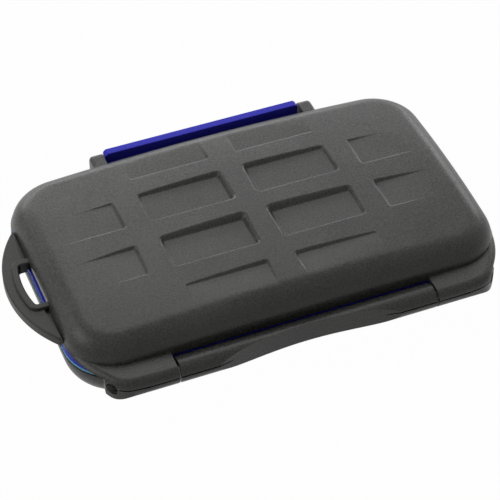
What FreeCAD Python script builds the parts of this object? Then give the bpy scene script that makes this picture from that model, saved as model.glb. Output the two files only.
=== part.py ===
"""Memory card case: a crowned clamshell with its hinge at the front, a lever latch at the back and two card trays.

Frame: +X along the case, +Y towards the latch, +Z up. The origin is the middle of the flat underside. Millimetres.
"""
import FreeCAD, Part
import Sketcher
import os
import re

# Driving dimensions, in millimetres, and angles in degrees
SIZES = {
    # both halves
    "shell_length": 112.4,
    "shell_width": 66.4,
    "shell_corner": 13.0,
    "case_height": 21.0,
    "rim_wall": 3.2,
    "base_rim": 8.9,
    "lid_rim": 11.4,
    "overrun": 2.0,
    # base
    "base_floor": 2.0,
    "base_round": 7.5,
    "base_inner_flat": 3.0,
    # lid
    "lid_draft": 6.0,
    "lid_round": 6.0,
    "lid_roof": 3.2,
    "crown_radius_along": 667.0,
    "crown_radius_across": 238.0,
    "crown_sweep": 14.0,
    # sunk bricks: their flat floors
    "brick_depth": 1.55,
    "brick_slope": 42.0,
    "brick_length": 20.9,
    "brick_width": 9.35,
    "brick_rib": 7.7,
    "brick_end_rib": 7.3,
    "brick_side_rib": 6.93,
    # lanyard loop
    "loop_span": 40.0,
    "loop_reach": 7.4,
    "loop_thickness": 2.4,
    "loop_drop": 0.8,
    "loop_root": 1.5,
    "loop_back_gap": 0.2,
    "loop_edge_flat": 0.5,
    "slot_length": 14.2,
    "slot_margin": 3.7,
    "slot_bite": 0.6,
    "slot_corner": 0.8,
    "collar_width": 1.4,
    "collar_height": 0.65,
    "collar_edge_flat": 0.3,
    "loop_groove_width": 1.3,
    "loop_groove_depth": 0.8,
    "loop_groove_margin": 1.5,
    # hinge
    "hinge_reach": 3.2,
    "hinge_level": 9.6,
    "hinge_radius": 3.0,
    "hinge_lip_step": 0.35,
    "hinge_lip_angle": 3.0,
    "barrel_end_inset": 23.05,
    "knuckle_gap": 0.3,
    "knuckle_rise": 2.9,
    "knuckle_round": 2.7,
    "web_top": 7.6,
    "web_low": 4.4,
    "scoop_depth": 3.0,
    "scoop_margin": 9.65,
    "hinge_pin_radius": 1.0,
    "hinge_pin_length": 29.0,
    "hinge_pin_grip": 14.0,
    "pin_end_gap": 0.5,
    "pin_clearance": 0.04,
    "pin_chamfer": 0.2,
    # plan of the knuckles: arcs that run into each other, and the angles where one takes over from the next
    "knuckle_front_inset": 17.8,
    "knuckle_bow_radius": 60.0,
    "knuckle_nose_turn": 6.0,
    "knuckle_nose_radius": 7.0,
    "flange_turn": 54.0,
    "flange_bow_radius": 24.0,
    "knuckle_end_inset": 5.6,
    "knuckle_back_gap": 0.35,
    # seal
    "groove_inset": 1.0,
    "groove_width": 1.2,
    "groove_depth": 1.2,
    "seal_side_gap": 0.1,
    "seal_rise": 0.6,
    "seal_ledge_inset": 0.25,
    "seal_ledge_width": 2.3,
    "seal_ledge_height": 0.6,
    "seal_band_inset": 0.6,
    "seal_band_width": 1.6,
    "seal_squeeze_gap": 0.05,
    # card trays
    "tray_gap": 0.25,
    "base_tray_top": 9.6,
    "lid_tray_low": 10.4,
    "lid_tray_thickness": 3.8,
    "lid_tray_flat": 1.0,
    "card_length": 32.0,
    "card_width": 24.0,
    "card_thickness": 2.1,
    "card_gap": 0.15,
    "card_corner": 0.8,
    "card_rib_along": 1.5,
    "card_rib_across": 2.7,
    "thumb_radius": 6.5,
    "thumb_depth": 2.9,
    # latch
    "clip_end_inset": 29.4,
    "clip_gap": 0.4,
    "clip_stand_off": 0.3,
    "clip_thickness": 2.2,
    "clip_top": 17.5,
    "clip_barrel_radius": 1.4,
    "clip_end_chamfer": 0.7,
    "clip_edge_round": 0.3,
    "latch_pin_out": 1.3,
    "latch_pin_level": 4.6,
    "latch_pin_radius": 0.6,
    "ear_width": 3.6,
    "ear_top": 16.5,
    "ear_back_round": 1.6,
    "ear_corner_round": 1.2,
    "ear_side_round": 0.8,
    "ear_root_inset": 2.9,
    "lug_root_inset": 2.3,
    "catch_top": 13.0,
    "catch_window": 2.4,
    "catch_depth": 1.6,
    "hook_play": 0.15,
    "hook_reach": 1.6,
    "hook_tip": 0.6,
    "hook_height": 1.65,
}

# Places that several pieces share, in terms of the driving dimensions
HALF_LENGTH = "shell_length / 2"
HALF_WIDTH = "shell_width / 2"
LOOP_RADIUS = "((loop_span^2 / 4 + loop_reach^2) / (2 * loop_reach))"
LOOP_MIDDLE = f"({LOOP_RADIUS} - loop_reach - shell_length / 2)"
LOOP_LOW = "(lid_rim - loop_drop)"
HINGE_Y = "-(shell_width / 2 + hinge_reach)"
BARREL_END = "(shell_length / 2 - barrel_end_inset)"
KNUCKLE_START = "(shell_length / 2 - barrel_end_inset + knuckle_gap)"
KNUCKLE_END = "(shell_length / 2 - knuckle_end_inset)"
HINGE_FRONT = "(-(shell_width / 2 + hinge_reach) - hinge_radius)"
LIP_RADIUS = "(hinge_radius - hinge_lip_step)"
LIP_LEVEL = "(hinge_level - hinge_radius * sin(hinge_lip_angle))"
KNUCKLE_TOP = "(hinge_level + knuckle_rise)"
LATCH_Y = "(shell_width / 2 + latch_pin_out)"
CLIP_END = "(shell_length / 2 - clip_end_inset)"
EAR_START = "(shell_length / 2 - clip_end_inset + clip_gap)"
CLIP_INSIDE = "(shell_width / 2 + clip_stand_off)"
CLIP_BACK = "(shell_width / 2 + clip_stand_off + clip_thickness)"
LATCH_BACK = "(shell_width / 2 + latch_pin_out + clip_barrel_radius)"
LID_TRAY_TOP = "(lid_tray_low + lid_tray_thickness)"
CARD_LENGTH = "(card_length + 2 * card_gap)"
CARD_WIDTH = "(card_width + 2 * card_gap)"
CARD_DEPTH = "(card_thickness + card_gap)"

LEFT = -1
RIGHT = 1
SIDES = {"left": LEFT, "right": RIGHT}
QUARTER_TURN = "90"
NEAR = 1e-4

doc = FreeCAD.newDocument("memory_card_case")
sheet = doc.addObject("Spreadsheet::Sheet", "sizes")
for row, (name, value) in enumerate(SIZES.items(), start=1):
    sheet.set(f"A{row}", name)
    sheet.set(f"B{row}", str(value))
    sheet.setAlias(f"B{row}", name)
doc.recompute()


def bound(expression):
    """The expression with each size's name pointing at its cell of the sheet."""
    return re.sub(r"[a-z_]+", lambda word: "sizes." + word[0] if word[0] in SIZES else word[0], expression)


def value_of(expression):
    """What an expression comes to, in millimetres or degrees."""
    return float(sheet.evalExpression(bound(expression)))


def new_body(label):
    body = doc.addObject("PartDesign::Body", label)
    body.Label = label
    return body


def new_sketch(body, name, plane, offset="0"):
    """A sketch on one of the body's own origin planes, moved along the plane's normal by an expression."""
    sketch = body.newObject("Sketcher::SketchObject", f"{body.Label}_{name}")
    role = plane + "_Plane"
    support = [feature for feature in body.Origin.OriginFeatures if feature.Role == role]
    sketch.AttachmentSupport = [(support[0], "")]
    sketch.MapMode = "FlatFace"
    sketch.setExpression("AttachmentOffset.Base.z", bound(offset))
    doc.recompute()
    return sketch


def pin_point(sketch, geometry, position, across, up):
    """Holds one point of a sketch at a pair of expressions, measured from the sketch's origin."""
    for kind, expression in (("DistanceX", across), ("DistanceY", up)):
        constraint = Sketcher.Constraint(kind, -1, 1, geometry, position, value_of(expression))
        index = sketch.addConstraint(constraint)
        sketch.setExpression(f"Constraints[{index}]", bound(expression))


def hold_radius(sketch, geometry, radius):
    index = sketch.addConstraint(Sketcher.Constraint("Radius", geometry, value_of(radius)))
    sketch.setExpression(f"Constraints[{index}]", bound(radius))


def arc_between(start, end, radius, bend):
    """The shorter arc between two points. Bend is +1 where it swells to the left of the way, -1 to the right."""
    chord = end - start
    half = chord.Length / 2
    sagitta = radius - max(radius * radius - half * half, 0) ** 0.5
    left = FreeCAD.Vector(-chord.y, chord.x, 0).normalize()
    return Part.Arc(start, (start + end) / 2 + left * (bend * sagitta), end)


def draw_outline(sketch, corners):
    """Closes an outline through its corners, each an (across, up) pair of expressions.

    A corner with two more items, a radius and a bend, begins an arc to the next corner; the others begin a line.
    """
    spots = [FreeCAD.Vector(value_of(corner[0]), value_of(corner[1]), 0) for corner in corners]
    pieces = []
    for index, corner in enumerate(corners):
        start = spots[index]
        end = spots[(index + 1) % len(spots)]
        if len(corner) == 2:
            geometry = sketch.addGeometry(Part.LineSegment(start, end))
        else:
            geometry = sketch.addGeometry(arc_between(start, end, value_of(corner[2]), corner[3]))
        begins_first = sketch.getPoint(geometry, 1).distanceToPoint(start) < NEAR
        first, last = (1, 2) if begins_first else (2, 1)
        pieces.append((geometry, first, last))
    for index, corner in enumerate(corners):
        geometry, first, last = pieces[index]
        previous, previous_first, previous_last = pieces[index - 1]
        sketch.addConstraint(Sketcher.Constraint("Coincident", previous, previous_last, geometry, first))
        pin_point(sketch, geometry, first, corner[0], corner[1])
        if len(corner) > 2:
            hold_radius(sketch, geometry, corner[2])


def draw_circle(sketch, across, up, radius):
    centre = FreeCAD.Vector(value_of(across), value_of(up), 0)
    geometry = sketch.addGeometry(Part.Circle(centre, FreeCAD.Vector(0, 0, 1), value_of(radius)))
    pin_point(sketch, geometry, 3, across, up)
    hold_radius(sketch, geometry, radius)


def draw_box(sketch, left, low, right, high):
    draw_outline(sketch, [(left, low), (right, low), (right, high), (left, high)])


def draw_rounded_box(sketch, left, low, right, high, corner):
    """A box with quarter-round corners, drawn the way the clock doesn't go."""
    draw_outline(sketch, [
        (f"{left} + {corner}", low),
        (f"{right} - {corner}", low, corner, -1),
        (right, f"{low} + {corner}"),
        (right, f"{high} - {corner}", corner, -1),
        (f"{right} - {corner}", high),
        (f"{left} + {corner}", high, corner, -1),
        (left, f"{high} - {corner}"),
        (left, f"{low} + {corner}", corner, -1),
    ])


def draw_shell_outline(sketch, inset):
    """The plan of both halves, moved in all round by an expression."""
    along = f"({HALF_LENGTH} - ({inset}))"
    across = f"({HALF_WIDTH} - ({inset}))"
    corner = f"(shell_corner - ({inset}))"
    draw_rounded_box(sketch, f"-{along}", f"-{across}", along, across, corner)


def check_change(feature, before, grows):
    """Stops if a feature failed, or added or cut nothing."""
    doc.recompute()
    after = feature.Shape.Volume if not feature.Shape.isNull() else 0
    changed = after > before if grows else after < before
    if "Invalid" in feature.State or "Error" in feature.State or not changed:
        raise RuntimeError(f"{feature.Name} came out wrong: {before:.2f} to {after:.2f} mm3, {feature.State}")


def body_volume(body):
    return body.Shape.Volume if not body.Shape.isNull() else 0


def add_profile(body, kind, name, sketch, length, reverse=False, middle=False, taper=None):
    before = body_volume(body)
    feature = body.newObject("PartDesign::" + kind, f"{body.Label}_{name}")
    feature.Profile = sketch
    feature.setExpression("Length", bound(length))
    feature.Reversed = reverse
    feature.Midplane = middle
    if taper:
        feature.setExpression("TaperAngle", bound(taper))
    check_change(feature, before, kind == "Pad")
    return feature


def pad(body, name, sketch, length, **options):
    return add_profile(body, "Pad", name, sketch, length, **options)


def pocket(body, name, sketch, length, **options):
    return add_profile(body, "Pocket", name, sketch, length, **options)


def dress(body, kind, name, edges, size_name, radius):
    """Rounds or chamfers the chosen edges of the body's last feature."""
    if not edges:
        raise RuntimeError(f"{body.Label}_{name} found no edges")
    feature = body.newObject("PartDesign::" + kind, f"{body.Label}_{name}")
    feature.Base = (body.Tip if body.Tip is not feature else feature.BaseFeature, edges)
    feature.setExpression(size_name, bound(radius))
    doc.recompute()
    if "Invalid" in feature.State or "Error" in feature.State or not feature.Shape.isValid():
        raise RuntimeError(f"{feature.Name} failed: {feature.State}")
    return feature


def fillet(body, name, edges, radius):
    return dress(body, "Fillet", name, edges, "Radius", radius)


def chamfer(body, name, edges, width):
    return dress(body, "Chamfer", name, edges, "Size", width)


def edges_where(body, wanted):
    """Names of the edges of the body's tip that a test wants."""
    shape = body.Tip.Shape
    return [f"Edge{number}" for number, edge in enumerate(shape.Edges, start=1) if wanted(edge)]


def lies_at(edge, level):
    """Whether an edge lies flat at a height."""
    box = edge.BoundBox
    return abs(box.ZMin - level) < NEAR and abs(box.ZMax - level) < NEAR


def upright(edge):
    box = edge.BoundBox
    return box.XLength < NEAR and box.YLength < NEAR


def around(centre, radius, turn):
    """The point of a circle at an angle that turns from straight to the front towards the case's end."""
    return f"({centre[0]} + ({radius}) * sin({turn}))", f"({centre[1]} - ({radius}) * cos({turn}))"


def knuckle_outline(side, inset):
    """Outside of a knuckle's plan, from the lid's end round the corner to its straight front, moved in by an inset."""
    front_centre = (f"({HALF_LENGTH} - knuckle_front_inset)", f"({HINGE_FRONT} + knuckle_bow_radius)")
    nose_centre = around(front_centre, "knuckle_bow_radius - knuckle_nose_radius", "knuckle_nose_turn")
    nose_start = around(nose_centre, "knuckle_nose_radius", "flange_turn")
    bow_end = f"({HALF_LENGTH} - flange_bow_radius * (1 - sin(flange_turn)))"
    bow_level = (f"({nose_start[1]} + ({bow_end} - {nose_start[0]}) * tan(flange_turn)"
                 f" + flange_bow_radius * cos(flange_turn))")
    bow_centre = (f"({HALF_LENGTH} - flange_bow_radius)", bow_level)
    bow = f"(flange_bow_radius - {inset})"
    nose = f"(knuckle_nose_radius - {inset})"
    front = f"(knuckle_bow_radius - {inset})"
    points = [
        around(bow_centre, bow, QUARTER_TURN) + (bow, side),
        around(bow_centre, bow, "flange_turn"),
        around(nose_centre, nose, "flange_turn") + (nose, side),
        around(front_centre, front, "knuckle_nose_turn") + (front, side),
        around(front_centre, front, "0"),
    ]
    return [(f"{side} * {point[0]}",) + point[1:] for point in points]


def on_hinge(radius, angle):
    """The point of the hinge's section at a radius, at an angle below the level way to the front."""
    return (f"{HINGE_Y} - {radius} * cos({angle})", f"hinge_level - {radius} * sin({angle})")


def at_level(radius, level, way):
    """The point of the hinge's section at a radius and a level, on its back (way 1) or its front (way -1)."""
    return (f"{HINGE_Y} + {way} * sqrt({radius}^2 - ({level} - hinge_level)^2)", level)


def make_base_shell():
    """Lower half: a dish with a rounded underside, the hinge's middle barrel and the latch's lugs."""
    body = new_body("base_shell")
    outline = new_sketch(body, "outline", "XY")
    draw_shell_outline(outline, "0")
    pad(body, "block", outline, "base_rim")
    fillet(body, "underside", edges_where(body, lambda edge: lies_at(edge, 0)), "base_round")

    barrel = new_sketch(body, "barrel_section", "YZ")
    root = f"-({HALF_WIDTH} - rim_wall / 2)"
    top = (HINGE_Y, "hinge_level + hinge_radius")
    draw_outline(barrel, [
        (root, "web_low"),
        (root, "web_top"),
        at_level("hinge_radius", "web_top", 1) + ("hinge_radius", -1),
        top + ("hinge_radius", -1),
        on_hinge("hinge_radius", "hinge_lip_angle"),
        on_hinge(LIP_RADIUS, "hinge_lip_angle") + (LIP_RADIUS, -1),
        (HINGE_Y, f"hinge_level - {LIP_RADIUS}"),
    ])
    pad(body, "barrel", barrel, f"2 * {BARREL_END}", middle=True)

    scoop = new_sketch(body, "scoop_plan", "XY")
    scoop_radius = f"((({BARREL_END} - scoop_margin)^2 + scoop_depth^2) / (2 * scoop_depth))"
    draw_circle(scoop, "0", f"{HINGE_Y} - hinge_radius + scoop_depth - {scoop_radius}", scoop_radius)
    pocket(body, "scoop", scoop, "2 * case_height", middle=True)

    for name, side in SIDES.items():
        bore = new_sketch(body, f"bore_{name}", "YZ", f"{side} * {BARREL_END}")
        draw_circle(bore, HINGE_Y, "hinge_level", "hinge_pin_radius + pin_clearance")
        pocket(body, f"bore_cut_{name}", bore, "hinge_pin_grip + pin_end_gap", reverse=side == LEFT)

        lug = new_sketch(body, f"lug_{name}", "YZ", f"{side} * {EAR_START}")
        lug_root = f"({HALF_WIDTH} - lug_root_inset)"
        underside = "latch_pin_level - clip_barrel_radius"
        draw_outline(lug, [
            (lug_root, underside),
            (LATCH_Y, underside, "clip_barrel_radius", -1),
            (LATCH_BACK, "latch_pin_level"),
            (LATCH_BACK, "base_rim - ear_corner_round", "ear_corner_round", -1),
            (f"{LATCH_BACK} - ear_corner_round", "base_rim"),
            (lug_root, "base_rim"),
        ])
        pad(body, f"lug_pad_{name}", lug, "ear_width", reverse=side == LEFT)

    latch_bore = new_sketch(body, "latch_bore", "YZ")
    draw_circle(latch_bore, LATCH_Y, "latch_pin_level", "latch_pin_radius + pin_clearance")
    pocket(body, "latch_bore_cut", latch_bore, "shell_length", middle=True)

    cavity = new_sketch(body, "cavity_plan", "XY", "base_rim")
    draw_shell_outline(cavity, "rim_wall")
    pocket(body, "cavity", cavity, "base_rim - base_floor")
    floor = value_of("base_floor")
    chamfer(body, "cavity_flat", edges_where(body, lambda edge: lies_at(edge, floor)), "base_inner_flat")

    groove = new_sketch(body, "groove_plan", "XY", "base_rim")
    draw_shell_outline(groove, "groove_inset")
    draw_shell_outline(groove, "groove_inset + groove_width")
    pocket(body, "groove", groove, "groove_depth")
    return body


def draw_bricks(sketch):
    """Floors of the twelve bricks: a four by four grid without its corners, whose outer ones run off the crown."""
    first_along = "brick_rib / 2"
    first_across = "brick_rib / 2"
    second_along = f"({first_along} + brick_length + brick_end_rib)"
    second_across = f"({first_across} + brick_width + brick_side_rib)"
    spans_along = [(first_along, f"({first_along} + brick_length)"), (second_along, HALF_LENGTH)]
    spans_across = [(first_across, f"({first_across} + brick_width)"), (second_across, HALF_WIDTH)]
    for column, (near_along, far_along) in enumerate(spans_along):
        for row, (near_across, far_across) in enumerate(spans_across):
            if column and row:
                continue
            for side in (LEFT, RIGHT):
                for way in (LEFT, RIGHT):
                    draw_box(sketch, f"{side} * {near_along}", f"{way} * {near_across}",
                             f"{side} * {far_along}", f"{way} * {far_across}")


def make_dome(body, inset, crown_drop):
    """Drafted walls under a crown that curves both ways, moved in and down by the given sizes."""
    outline = new_sketch(body, "outline", "XY", "lid_rim")
    draw_shell_outline(outline, inset)
    pad(body, "block", outline, "case_height - lid_rim + overrun", taper="-lid_draft")

    crown = new_sketch(body, "crown_section", "YZ")
    peak = f"(case_height - ({crown_drop}))"
    across_radius = f"(crown_radius_across - ({crown_drop}))"
    edge_level = f"({peak} - {across_radius} + sqrt({across_radius}^2 - shell_width^2))"
    above = "(case_height + 4 * overrun)"
    draw_outline(crown, [
        ("-shell_width", edge_level, across_radius, 1),
        ("shell_width", edge_level),
        ("shell_width", above),
        ("-shell_width", above),
    ])
    pivot = "case_height - crown_radius_along"
    axis = crown.addGeometry(Part.LineSegment(FreeCAD.Vector(value_of("-shell_width"), value_of(pivot), 0),
                                              FreeCAD.Vector(value_of("shell_width"), value_of(pivot), 0)), True)
    pin_point(crown, axis, 1, "-shell_width", pivot)
    pin_point(crown, axis, 2, "shell_width", pivot)
    before = body_volume(body)
    groove = body.newObject("PartDesign::Groove", f"{body.Label}_crown")
    groove.Profile = crown
    groove.ReferenceAxis = (crown, ["Axis0"])
    groove.setExpression("Angle", bound("crown_sweep"))
    groove.Midplane = True
    check_change(groove, before, False)


def join_outline(edge, spots):
    """Whether an edge begins and ends at points of an outline."""
    return all(any(vertex.Point.distanceToPoint(spot) < NEAR for spot in spots) for vertex in edge.Vertexes)


def make_knuckle(name, side):
    """A knuckle with its corner flange: a plate rounded over in front, and a lip under it about the hinge's axis."""
    body = new_body(f"knuckle_{name}")
    lip = new_sketch(body, "lip_section", "YZ", f"{side} * {KNUCKLE_START}")
    draw_outline(lip, [
        at_level(LIP_RADIUS, LIP_LEVEL, 1),
        at_level(LIP_RADIUS, LIP_LEVEL, -1) + (LIP_RADIUS, -1),
        (HINGE_Y, f"hinge_level - {LIP_RADIUS}", LIP_RADIUS, -1),
    ])
    pad(body, "lip", lip, f"{KNUCKLE_END} - {KNUCKLE_START}", reverse=side == LEFT)

    beyond_end = f"{side} * ({HALF_LENGTH} + overrun)"
    beyond_front = f"{HINGE_FRONT} - overrun"
    trim = new_sketch(body, "lip_trim", "XY", "hinge_level - hinge_radius - overrun")
    lip_outline = knuckle_outline(side, "hinge_lip_step")[1:]
    draw_outline(trim, lip_outline + [
        (lip_outline[-1][0], beyond_front),
        (beyond_end, beyond_front),
        (beyond_end, lip_outline[0][1]),
    ])
    pocket(body, "lip_cut", trim, "case_height", reverse=True)

    outline = knuckle_outline(side, "0")
    outline.append((f"{side} * {KNUCKLE_START}", HINGE_FRONT))
    inner = f"-({HALF_WIDTH} - rim_wall / 2)"
    plate = new_sketch(body, "plate_plan", "XY", LIP_LEVEL)
    draw_outline(plate, outline + [
        (f"{side} * {KNUCKLE_START}", inner),
        (f"{side} * ({HALF_LENGTH} - shell_corner)", inner),
        (f"{side} * ({HALF_LENGTH} - rim_wall / 2)", outline[0][1]),
    ])
    pad(body, "plate", plate, f"{KNUCKLE_TOP} - {LIP_LEVEL}")
    top = value_of(KNUCKLE_TOP)
    spots = [FreeCAD.Vector(value_of(point[0]), value_of(point[1]), top) for point in outline]
    fillet(body, "plate_round", edges_where(body, lambda edge: join_outline(edge, spots)), "knuckle_round")

    relief = new_sketch(body, "relief_plan", "XY", LIP_LEVEL)
    behind = f"-({HALF_WIDTH} + knuckle_back_gap)"
    knuckle_inside = f"{side} * ({KNUCKLE_START} - overrun)"
    draw_outline(relief, [
        (knuckle_inside, behind),
        (f"{side} * {KNUCKLE_END}", behind),
        (f"{side} * {KNUCKLE_END}", beyond_front),
        (beyond_end, beyond_front),
        (beyond_end, "0"),
        (knuckle_inside, "0"),
    ])
    pocket(body, "relief", relief, f"lid_rim - {LIP_LEVEL}", reverse=True)
    return body


def make_ear(name, side):
    """A block beside the clip, rounded on its back and its outer side."""
    body = new_body(f"ear_{name}")
    root = f"({HALF_WIDTH} - ear_root_inset)"
    section = new_sketch(body, "section", "YZ", f"{side} * {EAR_START}")
    draw_outline(section, [
        (root, "lid_rim"),
        (CLIP_BACK, "lid_rim"),
        (CLIP_BACK, "ear_top - ear_back_round", "ear_back_round", -1),
        (f"{CLIP_BACK} - ear_back_round", "ear_top"),
        (root, "ear_top"),
    ])
    pad(body, "block", section, "ear_width", reverse=side == LEFT)
    outer = value_of(f"{side} * ({EAR_START} + ear_width)")
    deep = value_of(root)
    rim = value_of("lid_rim")
    fillet(body, "side_round", edges_where(body, lambda edge: (
        abs(edge.BoundBox.Center.x - outer) < NEAR
        and edge.BoundBox.YMax > deep + NEAR and edge.BoundBox.ZMax > rim + NEAR)), "ear_side_round")
    return body


def slot_outline(wider, inner):
    """The lanyard's slot or, widened, its collar: straight ends and an outside that follows the loop's own."""
    radius = f"({LOOP_RADIUS} - slot_margin + {wider})"
    corner = f"(slot_corner + {wider})"
    end = f"(slot_length / 2 + {wider})"
    corner_x = f"({LOOP_MIDDLE} - sqrt(({radius} - {corner})^2 - ({end} - {corner})^2))"
    share = f"({radius} / ({radius} - {corner}))"
    arc_x = f"({LOOP_MIDDLE} + {share} * ({corner_x} - {LOOP_MIDDLE}))"
    arc_y = f"({share} * ({end} - {corner}))"
    return [
        (inner, f"-{end}"),
        (inner, end),
        (corner_x, end, corner, -1),
        (arc_x, arc_y, radius, -1),
        (arc_x, f"-{arc_y}", corner, -1),
        (corner_x, f"-{end}"),
    ]


def make_loop():
    """Lanyard loop for the left end: a crescent with a raised collar, its edges broken, that hangs below the rim."""
    body = new_body("loop")
    crescent = new_sketch(body, "plan", "XY", LOOP_LOW)
    root = f"-({HALF_LENGTH} - loop_root)"
    draw_outline(crescent, [
        (root, "loop_span / 2"),
        (f"-{HALF_LENGTH}", "loop_span / 2", LOOP_RADIUS, -1),
        (f"-({HALF_LENGTH} + loop_reach)", "0", LOOP_RADIUS, -1),
        (f"-{HALF_LENGTH}", "-loop_span / 2"),
        (root, "-loop_span / 2"),
    ])
    pad(body, "plate", crescent, "loop_thickness")
    wall = value_of(f"-{HALF_LENGTH}")
    chamfer(body, "plate_flat", edges_where(body, lambda edge: (
        edge.BoundBox.XMin < wall - NEAR and not upright(edge))), "loop_edge_flat")

    collar = new_sketch(body, "collar_plan", "XY", LOOP_LOW)
    draw_outline(collar, slot_outline("collar_width", root))
    pad(body, "collar", collar, "loop_thickness + collar_height")
    top = value_of(f"{LOOP_LOW} + loop_thickness + collar_height")
    chamfer(body, "collar_flat", edges_where(body, lambda edge: (
        lies_at(edge, top) and edge.BoundBox.XMin < wall - NEAR)), "collar_edge_flat")

    relief = new_sketch(body, "relief_plan", "XY", f"{LOOP_LOW} - overrun")
    draw_box(relief, f"-({HALF_LENGTH} + loop_back_gap)", "-loop_span", "0", "loop_span")
    pocket(body, "relief", relief, "loop_drop + overrun", reverse=True)
    return body


def combine(body, name, kind, tools):
    """Joins other bodies to this one, or cuts them from it."""
    before = body_volume(body)
    feature = body.newObject("PartDesign::Boolean", f"{body.Label}_{name}")
    feature.Type = kind
    feature.setObjects(tools)
    check_change(feature, before, kind == "Fuse")


def cut_lid_openings(body):
    """The lanyard's slot, grooves beside its collar, the hinge pins' bores and the window for the clip's hook."""
    slot = new_sketch(body, "slot_plan", "XY", f"{LOOP_LOW} - overrun")
    draw_outline(slot, slot_outline("0", f"-({HALF_LENGTH} - slot_bite)"))
    pocket(body, "slot", slot, "overrun + loop_thickness + collar_height", reverse=True)

    grooves = new_sketch(body, "loop_grooves", "XY", f"{LOOP_LOW} + loop_thickness")
    groove_start = "(slot_length / 2 + collar_width)"
    for way in (LEFT, RIGHT):
        draw_outline(grooves, [
            (f"-{HALF_LENGTH}", f"{way} * {groove_start}"),
            (f"-({HALF_LENGTH} + loop_groove_width)", f"{way} * {groove_start}"),
            (f"-{HALF_LENGTH}", f"{way} * (loop_span / 2 - loop_groove_margin)"),
        ])
    pocket(body, "loop_groove_cut", grooves, "loop_groove_depth")

    bores = new_sketch(body, "hinge_bores", "YZ")
    draw_circle(bores, HINGE_Y, "hinge_level", "hinge_pin_radius + pin_clearance")
    pocket(body, "hinge_bore_cut", bores, "shell_length", middle=True)

    window = new_sketch(body, "catch_window", "XZ", f"-({HALF_WIDTH} - catch_depth)")
    draw_box(window, f"-{EAR_START}", "catch_top", EAR_START, "catch_top + catch_window")
    pocket(body, "catch_cut", window, "case_height")


def make_lid_shell():
    """Upper half of the case."""
    body = new_body("lid_shell")
    make_dome(body, "0", "0")
    rim = value_of("lid_rim")
    fillet(body, "shoulder", edges_where(body, lambda edge: edge.BoundBox.ZMin > rim + NEAR), "lid_round")
    fittings = [make_loop()]
    for name, side in SIDES.items():
        fittings.append(make_knuckle(name, side))
        fittings.append(make_ear(name, side))
    combine(body, "fittings", "Fuse", fittings)
    core = new_body("lid_core")
    make_dome(core, "rim_wall", "lid_roof")
    combine(body, "hollow", "Cut", [core])
    cut_lid_openings(body)
    bricks = new_sketch(body, "brick_floors", "XY", "case_height - brick_depth")
    draw_bricks(bricks)
    pocket(body, "bricks", bricks, "brick_depth + overrun", reverse=True, taper="brick_slope")
    return body


def make_seal_ring():
    """Soft ring: a foot in the base's groove, a ledge that shows at the gap and a band that the lid presses."""
    body = new_body("seal_ring")
    foot_level = "base_rim - groove_depth"
    ledge_level = "(base_rim + seal_rise)"
    band_level = "(base_rim + seal_rise + seal_ledge_height)"
    layers = (
        ("foot", foot_level, f"{ledge_level} - ({foot_level})", "groove_inset + seal_side_gap",
         "groove_width - 2 * seal_side_gap"),
        ("ledge", ledge_level, "seal_ledge_height", "seal_ledge_inset", "seal_ledge_width"),
        ("band", band_level, f"lid_rim - seal_squeeze_gap - {band_level}", "seal_band_inset", "seal_band_width"),
    )
    for name, level, height, inset, width in layers:
        plan = new_sketch(body, f"{name}_plan", "XY", level)
        draw_shell_outline(plan, inset)
        draw_shell_outline(plan, f"{inset} + {width}")
        pad(body, name, plan, height)
    return body


def make_tray(label, low, high, flat_level, flat_width, open_upwards, taper=None):
    """Soft liner with six card recesses, in pairs that share a thumb hollow."""
    body = new_body(label)
    plan = new_sketch(body, "plan", "XY", low)
    draw_shell_outline(plan, "rim_wall + tray_gap")
    pad(body, "block", plan, f"{high} - ({low})", taper=taper)
    level = value_of(flat_level)
    chamfer(body, "edge_flat", edges_where(body, lambda edge: lies_at(edge, level)), flat_width)

    face = high if open_upwards else low
    recesses = new_sketch(body, "card_plan", "XY", face)
    thumbs = new_sketch(body, "thumb_plan", "XY", face)
    for column in (LEFT, 0, RIGHT):
        middle = f"{column} * ({CARD_LENGTH} + card_rib_along)"
        for row in (LEFT, RIGHT):
            centre = f"{row} * ({CARD_WIDTH} + card_rib_across) / 2"
            draw_rounded_box(recesses, f"{middle} - {CARD_LENGTH} / 2", f"{centre} - {CARD_WIDTH} / 2",
                             f"{middle} + {CARD_LENGTH} / 2", f"{centre} + {CARD_WIDTH} / 2", "card_corner")
        draw_circle(thumbs, middle, "0", "thumb_radius")
    pocket(body, "cards", recesses, CARD_DEPTH, reverse=not open_upwards)
    pocket(body, "thumbs", thumbs, "thumb_depth", reverse=not open_upwards)
    return body


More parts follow.
